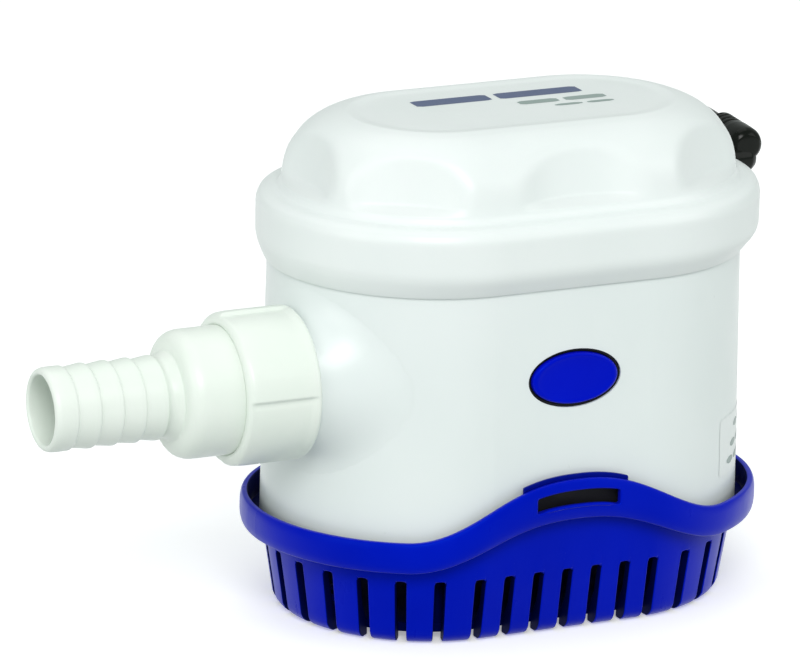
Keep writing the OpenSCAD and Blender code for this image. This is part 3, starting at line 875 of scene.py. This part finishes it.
BASE_R = 36.0        # the base's u is measured on this radius
SLOT_HALF = 1.25
SLOT_TOP = 15.5
SLOT_ROUND = 0.8     # height of the slot's rounded top
SIDE_PITCH = 7.3
END_PITCH = 14.3     # degrees
EDGE_LOW = 20.2
SLOT_ROWS = [0.0, 0.45, 1.0, 1.7, 2.4, 4.0, 8.0, 12.0]
WALL_SHARES = [0.25, 0.6]
# outlines of (r, z)
OUTER_WALL = [(31.6, 0.0), (32.6, 0.45), (33.3, 1.0), (33.8, 1.7), (34.1, 2.4), (36.2, 15.5), (37.5, 34.0)]
INNER_WALL = [(29.6, 0.0), (29.6, 1.5), (30.4, 4.2), (32.0, 6.0), (34.0, 15.5), (35.6, 40.0)]


def radius_at(outline, z):
    """Radius at a height, on an outline of (r, z) points."""
    for (r0, z0), (r1, z1) in zip(outline[:-1], outline[1:]):
        if z <= z1:
            return r0 + (r1 - r0) * (z - z0) / (z1 - z0)
    return outline[-1][0]


def base_columns():
    """Places round the wall, each (u, middle of the slot it belongs to, or None between slots)."""
    total = lap(END_C, BASE_R)
    centres = [(i - 3) * SIDE_PITCH for i in range(7)]
    centres += [END_C + BASE_R * rad(90 + (i - 5) * END_PITCH) for i in range(11)]
    centres += [c + total / 2 for c in centres]
    centres = sorted(c % total for c in centres)
    columns = []
    for centre, following in zip(centres, centres[1:] + [centres[0] + total]):
        for share in (-1.0, -0.92, -0.7, -0.38, 0.0, 0.38, 0.7, 0.92, 1.0):
            columns.append((centre + share * SLOT_HALF, centre))
        start, end = centre + SLOT_HALF, following - SLOT_HALF
        n = max(2, int((end - start) / 1.1))
        columns += [(start + (end - start) * k / n, None) for k in range(1, n)]
    return columns


def build_basket():
    """Wall of separate fingers under a plain part that ends in the wavy upper edge."""
    columns = base_columns()
    n = len(columns)
    slot_row = len(SLOT_ROWS)
    rows = range(slot_row + 1 + len(WALL_SHARES) + 1)

    def height(i, j):
        u, centre = columns[i]
        if j < slot_row:
            return SLOT_ROWS[j]
        if j == slot_row:
            if centre is None:
                return 13.2
            across = min(1.0, abs(u - centre) / SLOT_HALF)
            return SLOT_TOP - SLOT_ROUND + SLOT_ROUND * (1 - across ** 3) ** (1 / 3)
        edge = EDGE_LOW + RISE * bump(on_oval(u, OVAL_R, 0, END_C, BASE_R)[0])
        if j == rows[-1]:
            return edge
        low = SLOT_TOP + 0.6
        return low + (edge - low) * WALL_SHARES[j - slot_row - 1]

    def surface(outline):
        def point(i, j):
            z = height(i, j)
            return on_oval(columns[i][0], radius_at(outline, z), z, END_C, BASE_R)
        return point

    def hole(i, j):
        centre = columns[i][1]
        return j < slot_row and centre is not None and columns[(i + 1) % n][1] == centre

    wall = slab("basket", columns, rows, surface(OUTER_WALL), surface(INNER_WALL), hole, "base",
                "base_plastic", LOOK["base"], ("strainer_base",), close=True, edge=0.45, segments=3, angle=40)
    # inner faces and the slots' sides below 15 mm take the darker blue, painted shade
    shade_inside(wall, LOOK["inside"], sides_below=15.0)


def build_basket_floor():
    """Plate inside the ring of fingers, with a pad at its middle and one at each screw hole."""
    plate_r, steps = 29.7, 96
    us = [lap(END_C, plate_r) * k / steps for k in range(steps)]
    outline = [(0.0, 1.6), (28.0, 1.6), (29.9, 1.6), (29.9, 3.8), (28.0, 3.8), (0.0, 3.8)]
    rows = [[on_oval(u, r, z, END_C, plate_r) for u in us] for r, z in outline]
    # the plate is in the darker blue, painted shade; the pads keep the base blue
    plate = piece("basket_floor", *grid(rows), "base", "base_plastic", LOOK["inside"])
    soften(plate, 0.3)
    screw_r = 2.3
    solid_pad = [(0.01, 0.0), (5.6, 0.0), (6.0, 0.4), (6.0, 1.7)]
    screw_pad = [(screw_r, 4.4), (screw_r, 0.0), (5.6, 0.0), (6.0, 0.4), (6.0, 1.7), (6.0, 3.7), (4.8, 4.4),
                 (screw_r, 4.4)]
    for k, (x, outline) in enumerate(((-42.0, screw_pad), (0.0, solid_pad), (42.0, screw_pad))):
        pad = piece("screw_pad_%d" % k, *turned(x, 0.0, outline, 48), "base", "base_plastic", LOOK["base"])
        soften(pad, 0.15)


def build_posts():
    """Four rests that the pump stands on."""
    outline = [(2.7, 3.7), (2.5, 5.0), (2.5, 30.2), (2.1, 30.6), (0.0, 30.6)]
    for k, (x, y) in enumerate(((-28, -25.6), (-28, 25.6), (28, -25.6), (28, 25.6))):
        # the posts are in the darker blue, painted shade
        piece("post_%d" % k, *turned(x, y, outline, 32), "base", "base_plastic", LOOK["inside"])


def build_ledge():
    """Thin ring that closes the gap between the wall and the band, in the darker blue as painted shade."""
    steps = 240
    rows = []
    for r, c, rise in ((36.2, END_C, 0.0), (38.95, BAND_C, 0.0), (38.95, BAND_C, 0.8), (36.2, END_C, 0.8)):
        row = []
        for k in range(steps):
            x, y = on_oval(lap(c) * k / steps, r, 0.0, c)[:2]
            row.append((x, y, band_low(x) + 1.0 + rise))
        rows.append(row)
    piece("ledge", *grid(rows, close_v=True), "base", "base_plastic", LOOK["inside"], smooth=False)


build_basket()
build_basket_floor()
build_posts()
build_ledge()

# ---------------------------------------------------------------- button

BUTTON_Z = 60.9
BUTTON_HALF_W = 10.75
BUTTON_HALF_H = 5.95


def button_rings(profile):
    """Upright ovals about the button's middle; each entry is (half width, half height, y)."""
    n = 128
    rows = []
    for half_w, half_h, y in profile:
        rows.append([(half_w * turn(k, n)[0], y, BUTTON_Z + half_h * turn(k, n)[1]) for k in range(n)])
    return rows


def build_button():
    """Cap with a groove round its face, and a black ring round the cap, painted shadow in the gap."""
    # (share of the half sizes, y) from the root to the middle of the face
    profile = [(0.9, -33.0), (1.0, -33.0), (1.0, -36.6), (0.985, -37.1), (0.96, -37.36), (0.92, -37.47),
               (0.88, -37.47), (0.84, -37.40), (0.78, -37.36), (0.4, -37.34), (0.0, -37.34)]
    cap = button_rings([(BUTTON_HALF_W * share, BUTTON_HALF_H * share, y) for share, y in profile])
    piece("button_cap", *grid(cap), "button", "button_plastic", LOOK["button"], ("test_button",))
    # black ring as painted shadow in the gap round the cap
    gap = button_rings([(10.85, 6.05, -36.3), (11.7, 6.9, -36.3), (11.7, 6.9, -36.1), (10.85, 6.05, -36.1)])
    piece("button_gap_shadow", *grid(gap, close_v=True), "pump", "housing_plastic", LOOK["shadow_sheet"])


build_button()

# ---------------------------------------------------------------- outlet

OUT_Y, OUT_Z = -10.0, 59.0
NUT_R = 17.5
NUT_BORE = 14.66
RIDGE_R = 9.6
BARB_BORE = 7.8
BOSS_R = 15.2


def about_outlet(outline, n, radial=None):
    """Surface of (x, r) points turned about the outlet's axis; radial changes r by angle and x."""
    rows = []
    for x, r in outline:
        row = []
        for k in range(n):
            t = 2 * math.pi * k / n
            q = radial(x, r, t) if radial else r
            row.append((x, OUT_Y - q * math.sin(t), OUT_Z + q * math.cos(t)))
        rows.append(row)
    return grid(rows)


def nut_radius(x, r, t):
    """Four grips: the face climbs slowly and drops at its edge, away from both rounded ends."""
    if r < 16.6:
        return r
    a = (math.degrees(t) + 2.0) % 90.0
    step = 0.95 * (a / 90.0 * (1 - ease(86.5, 89.2, a))) - 0.75
    step -= 0.12 * math.exp(-((a - 1.5) / 1.6) ** 2)
    away = ease(-58.0, -61.0, x) * ease(-75.4, -73.8, x)
    return r + min(0.0, step) * away


def build_nut():
    outline = [(-57.9, 15.6), (-57.6, 16.4), (-58.4, NUT_R), (-60.5, NUT_R), (-72.0, NUT_R),
               (-74.6, NUT_R - 0.2), (-75.5, NUT_R - 1.6), (-75.5, 14.9)]
    outline = refine(fillet(outline, [0, 0.6, 1.2, 0.6, 0.6, 1.2, 0.8, 0], 4), 1.2)
    bore = [(-75.5, 14.9), (-75.2, NUT_BORE), (-73.2, NUT_BORE), (-73.2, 15.5), (-57.9, 15.6)]
    shell = joined(about_outlet(outline, 360, nut_radius), about_outlet(bore, 360))
    piece("nut_shell", *shell, "nut", "fitting_plastic", LOOK["fitting"], ("union_nut",))


def build_barb():
    """Collar that the nut holds, four ridges, a plain end and the bore."""
    collar = [(-71.1, 10.4), (-71.1, 15.0), (-72.8, 15.0), (-72.8, 14.65), (-85.0, 14.62), (-86.9, 13.9),
              (-87.9, 12.6), (-88.2, 11.0), (-88.2, 10.3), (-90.0, 9.25)]
    collar = fillet(collar, [0, 0.2, 0.2, 0.2, 1.2, 1.0, 0.8, 0.6, 0.9, 0.4], 4)
    r = RIDGE_R
    ridges = []
    x = -91.2
    for _ in range(4):
        # each ridge drops sharply towards the body and slopes towards the mouth
        ridges += [(x - 0.05, 8.98), (x - 0.5, r - 0.02), (x - 1.2, r), (x - 5.3, 9.02)]
        x -= 5.4
    end = [(x - 0.1, 9.0), (x - 0.6, r - 0.06), (x - 3.0, r - 0.04), (-117.4, r - 0.1), (-118.3, r - 0.45),
           (-118.6, r - 1.0), (-118.6, 8.2), (-118.2, 7.85), (-117.0, BARB_BORE)]
    bore = [(-100.0, BARB_BORE), (-92.0, BARB_BORE), (-88.5, 7.9), (-85.2, 10.4), (-71.1, 10.4)]
    verts, faces = about_outlet(collar + fillet(ridges + end, 0.28, 3) + bore, 200)
    piece("barb_shell", verts, faces, "pump", "fitting_plastic", LOOK["fitting"], ("hose_barb",))


def build_outlet_root():
    """Soft root where the outlet boss flows out of the housing's end."""
    spread, around, steps = 7.0, 180, 16
    rows = []
    for k in range(around):
        c, s = turn(k, around)

        def wall_x(rho):
            r = housing_radius(OUT_Z + rho * c)
            y = OUT_Y - rho * s
            return -END_C - math.sqrt(max(1.0, r * r - y * y))

        reach = wall_x(BOSS_R) + 57.2
        row = []
        for q in range(steps + 1):
            share = q / steps
            rho = BOSS_R + spread * share
            x = wall_x(rho) - reach * (1 - share) ** 2.1 + 0.08 * share ** 4
            row.append((x, OUT_Y - rho * s, OUT_Z + rho * c))
        rows.append(row)
    verts, faces = grid(rows, close_u=False, close_v=True)
    piece("outlet_root", verts, faces, "pump", "housing_plastic", LOOK["white"])


build_nut()
build_barb()
build_outlet_root()

# ---------------------------------------------------------------- gland


def build_gland():
    """Ribbed sleeve round the lead, and the stub of the lid's end that it grows from."""
    around = 64
    near = Vector((66.0, 8.0, 98.0))
    tilt = rad(3)
    axis = Vector((math.sin(tilt), math.cos(tilt), math.sin(tilt))).normalized()
    side = axis.cross(Vector((0, 0, 1))).normalized()
    over = side.cross(axis).normalized()
    sleeve = [(-2.2, 0.0), (-2.2, 1.6), (-2.0, 2.9), (-1.3, 3.75), (-0.2, 4.15), (1.4, 4.2), (4.6, 4.18)]
    d = 5.4
    while d < 11.4:
        r = 4.16 - 0.015 * d
        sleeve += [(d, r), (d + 0.9, r), (d + 1.1, r - 0.3), (d + 1.6, r - 0.3)]
        d += 1.9
    sleeve += [(12.3, 4.0), (12.9, 3.95), (13.2, 3.7), (13.2, 2.9)]
    sleeve_rows = []
    for d, r in fillet(sleeve, 0.25, 2):
        ring = (turn(k, around) for k in range(around))
        sleeve_rows.append([tuple(near + axis * d + side * (r * c) + over * (r * s)) for c, s in ring])
    stub = [(54.0, 4.1), (60.4, 4.05), (61.0, 3.9), (64.0, 3.85), (67.0, 3.6), (68.6, 2.4), (69.0, 0.0)]
    stub_rows = []
    for x, r in fillet(stub, 0.5, 3):
        ring = (turn(k, around) for k in range(around))
        stub_rows.append([(x, 9.0 + r * c, 94.6 + r * s) for c, s in ring])
    shell = joined(grid(sleeve_rows), grid(stub_rows))
    piece("strain_relief", *shell, "pump", "black_rubber", LOOK["gland"], ("cable_gland",))


build_gland()

# ---------------------------------------------------------------- light and floor


def floor():
    """Pale floor that glows a little, and is left out of the diffuse bounce so that undersides shade."""
    me = bpy.data.meshes.new("floor")
    bm = bmesh.new()
    bmesh.ops.create_grid(bm, x_segments=8, y_segments=8, size=6.0)
    bm.to_mesh(me)
    bm.free()
    ob = bpy.data.objects.new("floor", me)
    ob.location = (0, 0, -0.0002)
    scene.collection.objects.link(ob)
    material, _, shader = nodes_of("pale floor")
    shader.inputs["Base Color"].default_value = (0.93, 0.93, 0.935, 1)
    shader.inputs["Roughness"].default_value = 0.9
    shader.inputs["Emission Color"].default_value = (1.0, 1.0, 1.0, 1)
    shader.inputs["Emission Strength"].default_value = 0.36
    me.materials.append(material)
    ob.visible_diffuse = False


LIT_POINT = Vector((0, 0, 0.06))


def area(name, place, size, power, colour):
    """Square area light that faces the pump's middle."""
    light = bpy.data.lights.new(name, "AREA")
    light.energy = power
    light.color = colour
    light.shape = "RECTANGLE"
    light.size = size
    light.size_y = size
    ob = bpy.data.objects.new(name, light)
    ob.location = place
    ob.rotation_euler = (LIT_POINT - Vector(place)).to_track_quat("-Z", "Y").to_euler()
    scene.collection.objects.link(ob)


floor()
world = bpy.data.worlds.new("studio")
world.use_nodes = True
sky = world.node_tree.nodes["Background"]
sky.inputs["Color"].default_value = (0.93, 1.0, 0.975, 1)
sky.inputs["Strength"].default_value = 0.54
scene.world = world
area("key", (-0.5, -1.2, 1.05), 0.6, 10.4, (1.0, 0.985, 0.985))
area("side", (-1.3, -0.4, 0.6), 0.9, 4.6, (1.0, 0.995, 0.99))
area("fill", (1.0, -1.0, 0.75), 0.9, 3.8, (1.0, 1.0, 0.99))
area("top", (0.1, 0.5, 1.3), 1.0, 2.0, (1.0, 0.985, 0.985))
scene.view_settings.view_transform = "Standard"
